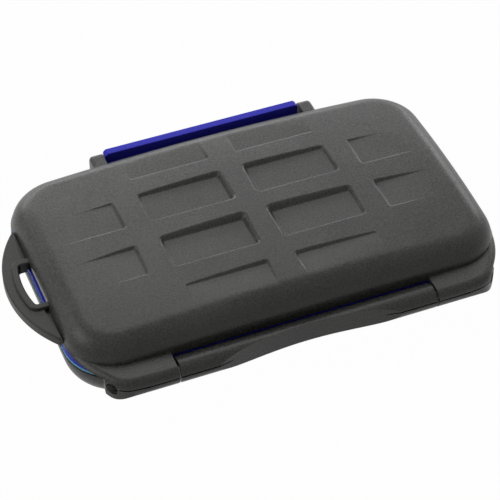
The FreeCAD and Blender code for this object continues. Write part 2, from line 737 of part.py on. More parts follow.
def make_latch_clip():
    """Lever with a barrel on the latch's pin, a hook that the lid's catch holds and a lip to pull at its top."""
    body = new_body("latch_clip")
    section = new_sketch(body, "section", "YZ")
    inside_meets = f"latch_pin_level + sqrt(clip_barrel_radius^2 - ({LATCH_Y} - {CLIP_INSIDE})^2)"
    back_meets = f"latch_pin_level + sqrt(clip_barrel_radius^2 - ({CLIP_BACK} - {LATCH_Y})^2)"
    hook_low = "catch_top + hook_play"
    draw_outline(section, [
        (CLIP_INSIDE, inside_meets),
        (CLIP_INSIDE, hook_low),
        (f"{CLIP_INSIDE} - hook_reach", hook_low),
        (f"{CLIP_INSIDE} - hook_reach", f"{hook_low} + hook_tip"),
        (CLIP_INSIDE, f"{hook_low} + hook_height"),
        (CLIP_INSIDE, "clip_top"),
        (CLIP_BACK, "clip_top"),
        (CLIP_BACK, back_meets, "clip_barrel_radius", 1),
        (LATCH_Y, "latch_pin_level - clip_barrel_radius", "clip_barrel_radius", 1),
    ])
    pad(body, "lever", section, f"2 * {CLIP_END}", middle=True)
    bore = new_sketch(body, "bore", "YZ")
    draw_circle(bore, LATCH_Y, "latch_pin_level", "latch_pin_radius + pin_clearance")
    pocket(body, "bore_cut", bore, f"2 * ({CLIP_END} + overrun)", middle=True)
    hook_top = value_of(f"{hook_low} + hook_height")
    chamfer(body, "ends", edges_where(body, lambda edge: upright(edge) and edge.BoundBox.ZMax > hook_top),
            "clip_end_chamfer")
    top = value_of("clip_top")
    fillet(body, "lip", edges_where(body, lambda edge: lies_at(edge, top)), "clip_edge_round")
    return body


def make_pin(label, radius, length, along, across, up):
    """Steel pin along X with chamfered ends, placed by its left end."""
    body = new_body(label)
    section = new_sketch(body, "section", "YZ")
    draw_circle(section, "0", "0", radius)
    pad(body, "rod", section, length)
    chamfer(body, "ends", edges_where(body, lambda edge: edge.Closed), "pin_chamfer")
    for axis, expression in (("x", along), ("y", across), ("z", up)):
        body.setExpression(f"Placement.Base.{axis}", bound(expression))
    doc.recompute()
    return body


def make_pins():
    hinge_start = f"({BARREL_END} - hinge_pin_grip)"
    latch_half = f"({EAR_START} + ear_width)"
    return [
        make_pin("hinge_pin_left", "hinge_pin_radius", "hinge_pin_length", f"-({hinge_start} + hinge_pin_length)",
                 HINGE_Y, "hinge_level"),
        make_pin("hinge_pin_right", "hinge_pin_radius", "hinge_pin_length", hinge_start, HINGE_Y, "hinge_level"),
        make_pin("latch_pin", "latch_pin_radius", f"2 * {latch_half}", f"-{latch_half}", LATCH_Y, "latch_pin_level"),
    ]


def write_parts(bodies):
    """Tests every object and sub-part, then writes the sub-parts."""
    doc.recompute()
    for item in doc.Objects:
        if "Invalid" in item.State or "Error" in item.State:
            raise RuntimeError(f"{item.Name} is {item.State}")
    for body in bodies:
        shape = body.Shape
        if shape.isNull() or not shape.isValid() or len(shape.Solids) != 1:
            raise RuntimeError(f"{body.Label} isn't one valid solid")
    os.makedirs("parts", exist_ok=True)
    for body in bodies:
        box = body.Shape.BoundBox
        body.Shape.exportStep(f"parts/{body.Label}.step")
        print(f"{body.Label}: {body.Shape.Volume:.1f} mm3, x {box.XMin:.2f} to {box.XMax:.2f}, "
              f"y {box.YMin:.2f} to {box.YMax:.2f}, z {box.ZMin:.2f} to {box.ZMax:.2f}")


write_parts([
    make_base_shell(),
    make_lid_shell(),
    make_seal_ring(),
    make_tray("base_tray", "base_floor", "base_tray_top", "base_floor", "base_inner_flat", True),
    make_tray("lid_tray", "lid_tray_low", LID_TRAY_TOP, LID_TRAY_TOP, "lid_tray_flat", False, "-lid_draft"),
    make_latch_clip(),
] + make_pins())
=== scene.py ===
# %% [markdown]
# # A memory card case, dressed for its portrait
#
# The case is a flat clamshell of dark grey plastic: a crowned lid with sunk bricks, a shallow base, a blue seal
# between them, a hinge in front and a blue clip behind. The solid model is already packed, with its bodies and
# joints, so this lesson loads it as a frame and builds finer pieces around it. Everything is in metres, with the
# origin on the table under the middle of the case, +X along it, +Y towards the clip and +Z up.

# %% Load the frame
import math

import bmesh
import bpy
from mathutils import Matrix, Vector


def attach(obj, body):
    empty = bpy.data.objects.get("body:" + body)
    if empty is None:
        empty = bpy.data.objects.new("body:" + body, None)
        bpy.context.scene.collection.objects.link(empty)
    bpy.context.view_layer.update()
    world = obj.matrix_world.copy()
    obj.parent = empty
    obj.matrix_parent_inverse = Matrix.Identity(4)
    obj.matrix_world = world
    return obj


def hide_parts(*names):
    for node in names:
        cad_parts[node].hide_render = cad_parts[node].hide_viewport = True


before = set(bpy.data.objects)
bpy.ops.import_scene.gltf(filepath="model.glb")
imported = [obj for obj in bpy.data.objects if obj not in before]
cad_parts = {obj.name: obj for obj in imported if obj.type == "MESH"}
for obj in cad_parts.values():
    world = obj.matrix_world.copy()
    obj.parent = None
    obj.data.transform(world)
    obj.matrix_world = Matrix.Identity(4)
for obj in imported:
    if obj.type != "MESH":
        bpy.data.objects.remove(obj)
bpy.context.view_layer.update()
print("nodes:", sorted(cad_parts))

# %% [markdown]
# ## From a bmesh to a piece
#
# Small mouldings are easier to think about in millimetres, so each piece is modelled in them and scaled once,
# when it is finished. The finished object stays at the origin, with its place in its mesh, and rides on a body of
# the frame. Edges sharper than an angle stay crisp, and the rest is shaded smooth. NEAR is how far, in
# millimetres, a vertex may lie from a plane and still count as on it.

# %% Finishing a piece
MM = 0.001
MERGE_REACH = 0.0005
CRISP_DEGREES = 32
NEAR = 0.01


def finish_piece(name, bm, body):
    bmesh.ops.remove_doubles(bm, verts=bm.verts, dist=MERGE_REACH)
    bmesh.ops.recalc_face_normals(bm, faces=bm.faces)
    bmesh.ops.scale(bm, vec=(MM, MM, MM), verts=bm.verts)
    mesh = bpy.data.meshes.new(name)
    bm.to_mesh(mesh)
    bm.free()
    mesh.shade_smooth()
    mesh.set_sharp_from_angle(angle=math.radians(CRISP_DEGREES))
    piece = bpy.data.objects.new(name, mesh)
    bpy.context.scene.collection.objects.link(piece)
    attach(piece, body)
    print(f"{name}: {len(mesh.polygons)} faces, {[round(size / MM, 2) for size in piece.dimensions]} mm")
    return piece


# %% [markdown]
# ## Outlines that step inwards
#
# Lid, base and seal share one plan: a rectangle with round corners. It could be drawn as a curve, but a
# plane with its four corners bevelled gives the same line with one operator. A shell then grows out of that face
# by insetting it ring after ring, each a little further in and a little higher, which keeps the corners true to
# the plan.

# %% Plan and rings
SHELL_HALF_LENGTH = 56.2
SHELL_HALF_WIDTH = 33.2
SHELL_CORNER = 13.0
CORNER_SEGMENTS = 20


def rounded_plan(bm, inset, level, faces_up=True):
    """One face with the case's outline, moved in by an inset."""
    verts = bmesh.ops.create_grid(bm, x_segments=1, y_segments=1, size=1.0)["verts"]
    bmesh.ops.scale(bm, vec=(SHELL_HALF_LENGTH - inset, SHELL_HALF_WIDTH - inset, 1), verts=verts)
    bmesh.ops.translate(bm, vec=(0, 0, level), verts=verts)
    bmesh.ops.bevel(bm, geom=verts, offset=SHELL_CORNER - inset, offset_type="OFFSET", segments=CORNER_SEGMENTS,
                    profile=0.5, affect="VERTICES", clamp_overlap=False, material=-1)
    bm.faces.ensure_lookup_table()
    face = bm.faces[-1]
    face.normal_update()
    if (face.normal.z > 0) != faces_up:
        face.normal_flip()
    return face


def step_in(bm, face, inward, onward):
    """Insets a face and moves it along its normal."""
    bmesh.ops.inset_region(bm, faces=[face], thickness=inward, depth=onward, use_even_offset=True, use_boundary=True)


def close_boundary(bm, faces_up):
    """Fills the open edges with one face."""
    edges = [edge for edge in bm.edges if edge.is_boundary]
    face = bmesh.ops.edgeloop_fill(bm, edges=edges)["faces"][0]
    face.normal_update()
    if (face.normal.z > 0) != faces_up:
        face.normal_flip()
    return face


print(f"plan {2 * SHELL_HALF_LENGTH} x {2 * SHELL_HALF_WIDTH} mm, corners of {SHELL_CORNER} mm")

# %% [markdown]
# ## The lid's dome
#
# The lid's walls lean in by six degrees and roll over a six millimetre shoulder into a top that is crowned both
# ways. The rings follow that section with a flat top first. Then the top is cut into strips, close together where
# a brick's wall will fall and wide apart elsewhere, so that the bricks can be pressed in without a mesh of
# millions of faces.

# %% Rings of the dome
LID_RIM = 11.4
LID_TOP = 20.98
LID_DRAFT = math.radians(6)
SHOULDER_RADIUS = 6.0
SHOULDER_STEPS = 14

dome = bmesh.new()
top_face = rounded_plan(dome, 0, LID_RIM)
shoulder_level = LID_TOP - SHOULDER_RADIUS
reach = (shoulder_level + SHOULDER_RADIUS * math.sin(LID_DRAFT) - LID_RIM) * math.tan(LID_DRAFT)
shoulder_inset = reach + SHOULDER_RADIUS * math.cos(LID_DRAFT)
inset, level = 0.0, LID_RIM
for step in range(SHOULDER_STEPS + 1):
    turn = LID_DRAFT + (math.pi / 2 - LID_DRAFT) * step / SHOULDER_STEPS
    next_inset = shoulder_inset - SHOULDER_RADIUS * math.cos(turn)
    next_level = shoulder_level + SHOULDER_RADIUS * math.sin(turn)
    step_in(dome, top_face, next_inset - inset, next_level - level)
    inset, level = next_inset, next_level
print(f"flat top starts {inset:.2f} mm in, at {level:.2f} mm")

# %% Strips of the top
BRICK_SPANS_X = ((3.85, 24.75), (32.05, SHELL_HALF_LENGTH))
BRICK_SPANS_Y = ((3.85, 13.2), (20.13, SHELL_HALF_WIDTH))
FINE_STRIP = 0.16
COARSE_STRIP = 2.4
STRIPS_ON_FLOOR = 4
STRIPS_ON_WALL = 14


def strip_lines(spans, limit):
    """Places of the cuts: fine across each brick's wall, coarse between."""
    walls = [(spans[0][0], -1), (spans[0][1], 1), (spans[1][0], -1)]
    lines = {0.0}
    for edge, outward in walls:
        for count in range(-STRIPS_ON_FLOOR, STRIPS_ON_WALL):
            lines.add(edge + outward * count * FINE_STRIP)
    for count in range(1, int(limit / COARSE_STRIP) + 1):
        place = count * COARSE_STRIP
        if min(abs(place - line) for line in lines) > COARSE_STRIP / 2:
            lines.add(place)
    return sorted({round(sign * line, 4) for line in lines if abs(line) < limit for sign in (-1, 1)})


def cut_strips(bm, geometry, lines, normal):
    for line in lines:
        geometry = bmesh.ops.bisect_plane(bm, geom=geometry, dist=0.001, plane_co=Vector(normal) * line,
                                          plane_no=normal)["geom"]
    return geometry


lines_x = strip_lines(BRICK_SPANS_X, SHELL_HALF_LENGTH - shoulder_inset)
lines_y = strip_lines(BRICK_SPANS_Y, SHELL_HALF_WIDTH - shoulder_inset)
geometry = list(dome.verts) + list(dome.edges) + list(dome.faces)
geometry = cut_strips(dome, geometry, lines_x, (1, 0, 0))
geometry = cut_strips(dome, geometry, lines_y, (0, 1, 0))
print(f"{len(lines_x)} x {len(lines_y)} cuts, {len(dome.faces)} faces")

# %% [markdown]
# ## Crown and bricks
#
# The top falls away from its middle on a large arc along the case and a tighter one across it. The twelve bricks
# are flat floors at one level with sloped walls, so the inner four are sunk all round and the outer eight run out
# where the crown drops below their floor. Both are heights over the plan, so each vertex of the top takes the
# lower of the two, with a small blend that rounds the moulded edges.

# %% Pressing the top
CROWN_ALONG = 667.0
CROWN_ACROSS = 238.0
BRICK_FLOOR = 19.45
BRICK_SLOPE = math.tan(math.radians(31))
BRICK_CORNER = 0.4
EDGE_BLEND = 1.2
EDGE_SHARE = 0.8
FLOOR_BLEND = 0.2


def blend_min(first, second, width):
    overlap = max(width - abs(first - second), 0) / width
    return min(first, second) - overlap * overlap * width / 4


def crown_drop(x, y):
    across = CROWN_ACROSS - math.sqrt(CROWN_ACROSS ** 2 - y * y)
    radius = CROWN_ALONG - across
    return CROWN_ALONG - math.sqrt(radius * radius - x * x)


def outside_brick(x, y, span_x, span_y):
    """Distance from a brick's floor, whose corners are round."""
    past_x = max(span_x[0] - x, x - span_x[1]) + BRICK_CORNER
    past_y = max(span_y[0] - y, y - span_y[1]) + BRICK_CORNER
    return math.hypot(max(past_x, 0), max(past_y, 0)) + min(max(past_x, past_y), 0) - BRICK_CORNER


def brick_height(x, y):
    """Height of the nearest brick's floor or wall."""
    away = min(outside_brick(abs(x), abs(y), span_x, span_y)
               for column, span_x in enumerate(BRICK_SPANS_X)
               for row, span_y in enumerate(BRICK_SPANS_Y) if not (column and row))
    return BRICK_FLOOR - blend_min(0, -away, FLOOR_BLEND) / BRICK_SLOPE


for vert in dome.verts:
    if vert.co.z > LID_RIM + NEAR:
        crowned = vert.co.z - crown_drop(vert.co.x, vert.co.y)
        blend = min(EDGE_BLEND, max(EDGE_SHARE * (crowned - BRICK_FLOOR), FLOOR_BLEND))
        vert.co.z = blend_min(crowned, brick_height(vert.co.x, vert.co.y), blend)
print(f"top from {max(vert.co.z for vert in dome.verts):.2f} mm down to bricks at {BRICK_FLOOR} mm")

# %% [markdown]
# ## The lid's rim and its inside
#
# With the lid open its rim shows as a flat ring around the tray. The dome is closed below, the ring is inset by
# the wall's thickness and the rest goes up as the recess that holds the tray. The rim's edge gets the small round
# of a moulding.

# %% Rim and recess
RIM_WALL = 3.2
LID_RECESS = 3.4
RECESS_LEAN = 0.3
RIM_ROUND = 0.35


def round_edges(bm, edges, radius, segments):
    bmesh.ops.bevel(bm, geom=edges, offset=radius, offset_type="OFFSET", segments=segments, profile=0.5, affect="EDGES",
                    clamp_overlap=False, material=-1)


rim_face = close_boundary(dome, faces_up=False)
rim_edges = list(rim_face.edges)
step_in(dome, rim_face, RIM_WALL, 0)
step_in(dome, rim_face, RECESS_LEAN, -LID_RECESS)
round_edges(dome, rim_edges, RIM_ROUND, 3)
lid_dome = finish_piece("lid_dome", dome, "lid")
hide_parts("lid_shell")

# %% [markdown]
# ## Cutting with a second shape
#
# A few holes go through finished walls: the window for the clip's hook, the lanyard's slot and the bores of the
# pins. A Boolean modifier makes them, and its result is written back at once, so no live modifier is left on the
# piece. The window is given by two corners in Y and Z.

# %% A cutter
EAR_START = 27.2
HOOK_WINDOW = ((31.6, 13.0), (40.0, 15.4))


def write_back(piece):
    """Makes the result of a piece's modifiers its mesh."""
    result = bpy.data.meshes.new_from_object(piece.evaluated_get(bpy.context.evaluated_depsgraph_get()))
    piece.modifiers.clear()
    old = piece.data
    piece.data = result
    bpy.data.meshes.remove(old)
    result.name = piece.name


def cut_away(piece, cutter_bm):
    bmesh.ops.recalc_face_normals(cutter_bm, faces=cutter_bm.faces)
    bmesh.ops.scale(cutter_bm, vec=(MM, MM, MM), verts=cutter_bm.verts)
    cutter_mesh = bpy.data.meshes.new("cutter")
    cutter_bm.to_mesh(cutter_mesh)
    cutter_bm.free()
    cutter = bpy.data.objects.new("cutter", cutter_mesh)
    bpy.context.scene.collection.objects.link(cutter)
    modifier = piece.modifiers.new("cut", "BOOLEAN")
    modifier.operation = "DIFFERENCE"
    modifier.solver = "EXACT"
    modifier.use_self = True
    modifier.object = cutter
    write_back(piece)
    bpy.data.objects.remove(cutter)
    bpy.data.meshes.remove(cutter_mesh)
    print(f"{piece.name}: {len(piece.data.polygons)} faces after the cut")


def box_between(bm, low, high):
    middle = (Vector(low) + Vector(high)) / 2
    size = Vector(high) - Vector(low)
    return bmesh.ops.create_cube(bm, size=1.0, matrix=Matrix.Translation(middle) @ Matrix.Diagonal((*size, 1)))["verts"]


def rod_along_x(bm, start, end, y, level, radius, segments=40):
    turn = Matrix.Rotation(math.pi / 2, 4, "Y")
    place = Matrix.Translation(((start + end) / 2, y, level))
    return bmesh.ops.create_cone(bm, cap_ends=True, segments=segments, radius1=radius, radius2=radius,
                                 depth=abs(end - start), matrix=place @ turn)["verts"]


window = bmesh.new()
box_between(window, (-EAR_START, *HOOK_WINDOW[0]), (EAR_START, *HOOK_WINDOW[1]))
cut_away(lid_dome, window)

# %% [markdown]
# ## Knuckles with corner flanges
#
# At both ends of the hinge the lid has a knuckle whose outline curves round the corner of the case and dies out
# along its end. The outline is a walk of straight runs and arcs that meet without a kink: a vertex is extruded
# along each run and spun about each arc's centre. The face inside is extruded to a slab, and its outer top edge
# is rounded with a bevel.

# %% Outline of a knuckle
HINGE_Y = -36.4
HINGE_LEVEL = 9.6
HINGE_RADIUS = 3.0
HINGE_FRONT = HINGE_Y - HINGE_RADIUS
KNUCKLE_START = 33.6
KNUCKLE_FRONT = 38.4
FRONT_BOW = 60.0
NOSE_TURN = 6
NOSE_RADIUS = 7.0
FLANGE_TURN = 54
FLANGE_BOW = 24.0


def around(centre, radius, degrees):
    turn = math.radians(degrees)
    return Vector((centre[0] + radius * math.sin(turn), centre[1] - radius * math.cos(turn), 0))


FRONT_CENTRE = Vector((KNUCKLE_FRONT, HINGE_FRONT + FRONT_BOW, 0))
NOSE_CENTRE = around(FRONT_CENTRE, FRONT_BOW - NOSE_RADIUS, NOSE_TURN)
nose_start = around(NOSE_CENTRE, NOSE_RADIUS, FLANGE_TURN)
bow_end = SHELL_HALF_LENGTH - FLANGE_BOW * (1 - math.sin(math.radians(FLANGE_TURN)))
bow_level = (nose_start.y + (bow_end - nose_start.x) * math.tan(math.radians(FLANGE_TURN))
             + FLANGE_BOW * math.cos(math.radians(FLANGE_TURN)))
BOW_CENTRE = Vector((SHELL_HALF_LENGTH - FLANGE_BOW, bow_level, 0))


def walk_to(bm, vert, place):
    """Draws an edge from a vertex to a place."""
    new = bmesh.ops.extrude_vert_indiv(bm, verts=[vert])["verts"][0]
    new.co = place
    return new


def spin_on(bm, vert, centre, degrees, steps, axis=(0, 0, 1)):
    """Draws an arc from a vertex about a centre."""
    made = bmesh.ops.spin(bm, geom=[vert], cent=centre, axis=axis, angle=math.radians(degrees), steps=steps,
                          use_merge=False, use_duplicate=False)
    return [item for item in made["geom_last"] if isinstance(item, bmesh.types.BMVert)][0]


def knuckle_plan(bm):
    """Face inside a knuckle's outline. Its outer vertices are marked, so that they can be found again."""
    outer = bm.verts.layers.int.new("outer")
    first = bm.verts.new((KNUCKLE_START, HINGE_FRONT, 0))
    vert = walk_to(bm, first, (KNUCKLE_FRONT, HINGE_FRONT, 0))
    vert = spin_on(bm, vert, FRONT_CENTRE, NOSE_TURN, 6)
    vert = spin_on(bm, vert, NOSE_CENTRE, FLANGE_TURN - NOSE_TURN, 16)
    vert = walk_to(bm, vert, around(BOW_CENTRE, FLANGE_BOW, FLANGE_TURN))
    vert = spin_on(bm, vert, BOW_CENTRE, 90 - FLANGE_TURN, 12)
    for marked in bm.verts:
        marked[outer] = 1
    vert = walk_to(bm, vert, (KNUCKLE_START, bow_level, 0))
    vert[outer] = 0
    bm.edges.new((vert, first))
    bmesh.ops.edgeloop_fill(bm, edges=bm.edges)
    return outer


print(f"knuckle outline from x {KNUCKLE_START} to {SHELL_HALF_LENGTH}, flange from y {bow_level:.2f}")

# %% Slabs of a knuckle
LIP_LEVEL = 10.2
KNUCKLE_TOP = 12.5
KNUCKLE_ROUND = 2.15
LIP_GROOVE = 0.38
LIP_GROOVE_DEPTH = 0.9
LIP_OVERLAP = 0.3
NOSE_STEP = 3


def extrude_by(bm, faces, way):
    made = bmesh.ops.extrude_face_region(bm, geom=faces)["geom"]
    bmesh.ops.translate(bm, vec=way, verts=[item for item in made if isinstance(item, bmesh.types.BMVert)])


def slab(bm, low, high):
    """Extrudes the faces of a plan from one level to another."""
    bmesh.ops.translate(bm, vec=(0, 0, low), verts=bm.verts)
    extrude_by(bm, list(bm.faces), (0, 0, high - low))


def slice_off(bm, place, outward):
    """Cuts away what lies beyond a plane and closes the cut."""
    geometry = list(bm.verts) + list(bm.edges) + list(bm.faces)
    made = bmesh.ops.bisect_plane(bm, geom=geometry, dist=0.0001, plane_co=place, plane_no=outward, clear_outer=True)
    edges = [item for item in made["geom_cut"] if isinstance(item, bmesh.types.BMEdge)]
    bmesh.ops.edgeloop_fill(bm, edges=edges)


def knuckle_plate():
    """The whole rounded plate, as tall as the knuckle's front."""
    bm = bmesh.new()
    outer = knuckle_plan(bm)
    slab(bm, LIP_LEVEL, KNUCKLE_TOP)
    top_edges = [edge for edge in bm.edges
                 if all(vert[outer] and abs(vert.co.z - KNUCKLE_TOP) < NEAR for vert in edge.verts)]
    round_edges(bm, top_edges, KNUCKLE_ROUND, 10)
    return bm


def knuckle_lip(top, inset):
    """A half-round rod under the plate, shaved off plane by plane to follow the knuckle's nose."""
    bm = bmesh.new()
    rod_along_x(bm, KNUCKLE_START, SHELL_HALF_LENGTH, HINGE_Y, HINGE_LEVEL, HINGE_RADIUS - inset, 64)
    slice_off(bm, (0, 0, top), (0, 0, 1))
    for turn in range(NOSE_TURN, FLANGE_TURN + 1, NOSE_STEP):
        outward = around((0, 0), 1, turn)
        slice_off(bm, NOSE_CENTRE + outward * (NOSE_RADIUS - inset), outward)
    return bm


print(f"plate from {LIP_LEVEL} to {KNUCKLE_TOP} mm, rounded over by {KNUCKLE_ROUND} mm")

# %% [markdown]
# Above the rim the plate runs right round the corner as the flange. Below the rim only the knuckle's own length
# is kept, so one cutter takes away the rest, what would stand inside the lid's wall and the pin's bore. A lip
# follows the plate from below, with a narrow groove between them that draws the dark line along the hinge. A
# thinner core fills the groove's inside. OVERRUN is how far a cutter reaches past what it cuts.

# %% Knuckles of the lid
KNUCKLE_BACK = -33.55
KNUCKLE_END = 50.6
PIN_BORE = 1.04
BORE_MOUTH = 1.5
MOUTH_DEPTH = 2.0
OVERRUN = 4.0
SIDES = {"left": -1, "right": 1}


def add_mesh(bm, other):
    """Adds another bmesh to this one."""
    passing = bpy.data.meshes.new("passing")
    other.to_mesh(passing)
    other.free()
    bm.from_mesh(passing)
    bpy.data.meshes.remove(passing)


def make_knuckle(name, side):
    knuckle = knuckle_plate()
    add_mesh(knuckle, knuckle_lip(LIP_LEVEL + LIP_OVERLAP, LIP_GROOVE_DEPTH))
    add_mesh(knuckle, knuckle_lip(LIP_LEVEL - LIP_GROOVE, 0))
    bmesh.ops.scale(knuckle, vec=(side, 1, 1), verts=knuckle.verts)
    piece = finish_piece(name, knuckle, "lid")
    waste = bmesh.new()
    rounded_plan(waste, RIM_WALL / 2, 0)
    slab(waste, 0, LID_TOP)
    beyond = SHELL_HALF_LENGTH + OVERRUN
    before = KNUCKLE_START - OVERRUN
    box_between(waste, (side * before, KNUCKLE_BACK, 0), (side * beyond, 0, LID_RIM))
    box_between(waste, (side * KNUCKLE_END, 2 * HINGE_Y, 0), (side * beyond, 0, LID_RIM))
    rod_along_x(waste, side * before, side * beyond, HINGE_Y, HINGE_LEVEL, PIN_BORE)
    rod_along_x(waste, side * (KNUCKLE_END - MOUTH_DEPTH), side * beyond, HINGE_Y, HINGE_LEVEL, BORE_MOUTH)
    cut_away(piece, waste)
    return piece


lid_pieces = [lid_dome] + [make_knuckle(f"knuckle_{end}", side) for end, side in SIDES.items()]

# %% [markdown]
# ## The lanyard loop
#
# A crescent on the left end carries a slot with a raised collar, whose outside follows the crescent's own. Beside
# the collar it falls away in two thin wedges against the lid's wall, which show as dark lines. Four plans are
# stacked: a skirt below the rim, a full plate, a plate without the wedges, and the collar. The slot then goes
# through all of them and a little into the wall, where the mould leaves a smooth flat.

# %% Plans of the loop
LOOP_HALF_SPAN = 20.0
LOOP_REACH = 7.4
LOOP_RADIUS = (LOOP_HALF_SPAN ** 2 + LOOP_REACH ** 2) / (2 * LOOP_REACH)
LOOP_CENTRE = Vector((-SHELL_HALF_LENGTH - LOOP_REACH + LOOP_RADIUS, 0, 0))
LOOP_ROOT = -54.7
SLOT_IN = -55.6
SLOT_MARGIN = 4.1
SLOT_HALF = 7.1
SLOT_CORNER = 0.8
COLLAR_WIDTH = 1.8
WEDGE_WIDTH = 0.9
WEDGE_END = 18.5


def slot_edges(bm, wider):
    """Outline of the slot, or of its collar where wider is more than zero, whose inner end runs into the wall."""
    before = set(bm.edges)
    inner = LOOP_ROOT if wider else SLOT_IN
    half = SLOT_HALF + wider
    corner = SLOT_CORNER + wider
    reach = LOOP_RADIUS - SLOT_MARGIN - SLOT_CORNER
    corner_y = half - corner
    corner_x = LOOP_CENTRE.x - math.sqrt(reach ** 2 - corner_y ** 2)
    corner_turn = math.degrees(math.acos(corner_y / reach))
    first = bm.verts.new((inner, half, 0))
    vert = walk_to(bm, first, (corner_x, half, 0))
    vert = spin_on(bm, vert, (corner_x, corner_y, 0), corner_turn, 8)
    vert = spin_on(bm, vert, LOOP_CENTRE, 180 - 2 * corner_turn, 20)
    vert = spin_on(bm, vert, (corner_x, -corner_y, 0), corner_turn, 8)
    vert = walk_to(bm, vert, (inner, -half, 0))
    bm.edges.new((vert, first))
    return [edge for edge in bm.edges if edge not in before]


def crescent_edges(bm, notches):
    """Outline of the loop's plan. Notches are the points of the side towards the wall."""
    half_turn = math.degrees(math.asin(LOOP_HALF_SPAN / LOOP_RADIUS))
    first = bm.verts.new((-SHELL_HALF_LENGTH, LOOP_HALF_SPAN, 0))
    vert = spin_on(bm, first, LOOP_CENTRE, 2 * half_turn, 48)
    for place in notches:
        vert = walk_to(bm, vert, place)
    bm.edges.new((vert, first))
    return list(bm.edges)


def plan_slab(outline, low, high, rounded=0.0):
    """Slab over an outline, with the top's edge rounded on the side away from the lid."""
    bm = bmesh.new()
    bmesh.ops.edgeloop_fill(bm, edges=outline(bm))
    slab(bm, low, high)
    bmesh.ops.recalc_face_normals(bm, faces=bm.faces)
    if rounded:
        away = -SHELL_HALF_LENGTH - WEDGE_WIDTH
        round_edges(bm, [edge for edge in bm.edges if all(vert.co.z > high - NEAR for vert in edge.verts)
                         and any(vert.co.x < away - NEAR for vert in edge.verts)], rounded, 4)
    return bm


print(f"loop reaches {LOOP_REACH} mm on an arc of {LOOP_RADIUS:.1f} mm")

# %% Stacking the loop
SKIRT_LOW = 10.6
PLATE_TOP = 12.2
NOTCHED_TOP = 13.0
COLLAR_TOP = 13.65
LOOP_ROUND = 0.4
LOOP_BACK_GAP = 0.2
SLOT_FLARE = 0.25
FLAT_GAP = 0.04
FLAT_LIFT = 0.02
FLAT_DEPTH = 0.4

root_notches = [(LOOP_ROOT, -LOOP_HALF_SPAN, 0), (LOOP_ROOT, LOOP_HALF_SPAN, 0)]
collar_half = SLOT_HALF + COLLAR_WIDTH
wedge_notches = [(-SHELL_HALF_LENGTH, -WEDGE_END, 0), (-SHELL_HALF_LENGTH - WEDGE_WIDTH, -collar_half, 0),
                 (LOOP_ROOT, -collar_half, 0), (LOOP_ROOT, collar_half, 0),
                 (-SHELL_HALF_LENGTH - WEDGE_WIDTH, collar_half, 0), (-SHELL_HALF_LENGTH, WEDGE_END, 0)]
loop = plan_slab(lambda bm: crescent_edges(bm, root_notches), SKIRT_LOW, LID_RIM)
slice_off(loop, (-SHELL_HALF_LENGTH - LOOP_BACK_GAP, 0, 0), (1, 0, 0))
add_mesh(loop, plan_slab(lambda bm: crescent_edges(bm, root_notches), LID_RIM, PLATE_TOP))
add_mesh(loop, plan_slab(lambda bm: crescent_edges(bm, wedge_notches), PLATE_TOP, NOTCHED_TOP, LOOP_ROUND))
add_mesh(loop, plan_slab(lambda bm: slot_edges(bm, COLLAR_WIDTH), PLATE_TOP, COLLAR_TOP, LOOP_ROUND))
lanyard_loop = finish_piece("lanyard_loop", loop, "lid")
slot = plan_slab(lambda bm: slot_edges(bm, 0), SKIRT_LOW - OVERRUN, COLLAR_TOP - SLOT_FLARE)
slot_top = max(slot.faces, key=lambda face: face.calc_center_median().z)
step_in(slot, slot_top, -SLOT_FLARE, SLOT_FLARE)
step_in(slot, slot_top, 0, OVERRUN)
cut_away(lanyard_loop, slot)
cut_away(lid_dome, plan_slab(lambda bm: slot_edges(bm, 0), SKIRT_LOW - OVERRUN, COLLAR_TOP))
flat = bmesh.new()
box_between(flat, (SLOT_IN - FLAT_GAP, -SLOT_HALF + FLAT_GAP, LID_RIM + FLAT_LIFT),
            (SLOT_IN + FLAT_DEPTH, SLOT_HALF - FLAT_GAP, COLLAR_TOP - FLAT_GAP))
slot_flat = finish_piece("slot_flat", flat, "lid")

# %% [markdown]
# ## Ears beside the clip
#
# Two small blocks on the lid's back wall guard the ends of the clip. Each is a section in the YZ plane, extruded
# along the case. Its back and its outer side are rounded like the rest of the moulding.

# %% Ears
EAR_WIDTH = 3.6
EAR_ROOT = 30.3
EAR_TOP = 17.0
EAR_OUT = EAR_START + EAR_WIDTH
EAR_BACK_ROUND = 1.6
EAR_SIDE_ROUND = 1.0
CLIP_BACK = 35.7


def section_along_x(bm, points, start, end):
    """Extrudes an outline of (y, z) points along X."""
    vert = first = bm.verts.new((start, *points[0]))
    for point in points[1:]:
        vert = walk_to(bm, vert, (start, *point))
    bm.edges.new((vert, first))
    edges = [edge for edge in bm.edges if edge.is_wire]
    extrude_by(bm, bmesh.ops.edgeloop_fill(bm, edges=edges)["faces"], (end - start, 0, 0))


for end, side in SIDES.items():
    ear = bmesh.new()
    section_along_x(ear, [(EAR_ROOT, LID_RIM), (CLIP_BACK, LID_RIM), (CLIP_BACK, EAR_TOP), (EAR_ROOT, EAR_TOP)],
                    side * EAR_START, side * EAR_OUT)
    top_back = [edge for edge in ear.edges
                if all(vert.co.z > EAR_TOP - NEAR and vert.co.y > CLIP_BACK - NEAR for vert in edge.verts)]
    round_edges(ear, top_back, EAR_BACK_ROUND, 6)
    outer_side = [edge for edge in ear.edges
                  if all(abs(vert.co.x) > EAR_OUT - NEAR for vert in edge.verts)
                  and any(vert.co.z > LID_RIM + NEAR and vert.co.y > EAR_ROOT + NEAR for vert in edge.verts)]
    round_edges(ear, outer_side, EAR_SIDE_ROUND, 5)
    lid_pieces.append(finish_piece(f"ear_{end}", ear, "lid"))

# %% [markdown]
# ## The base
#
# The base is the same plan grown downwards: a short upright wall, then a generous round into the flat underside.
# Its rim carries the seal's groove and stays a little below the seal, which draws a dark line under it. Its
# inside is a recess for the tray.

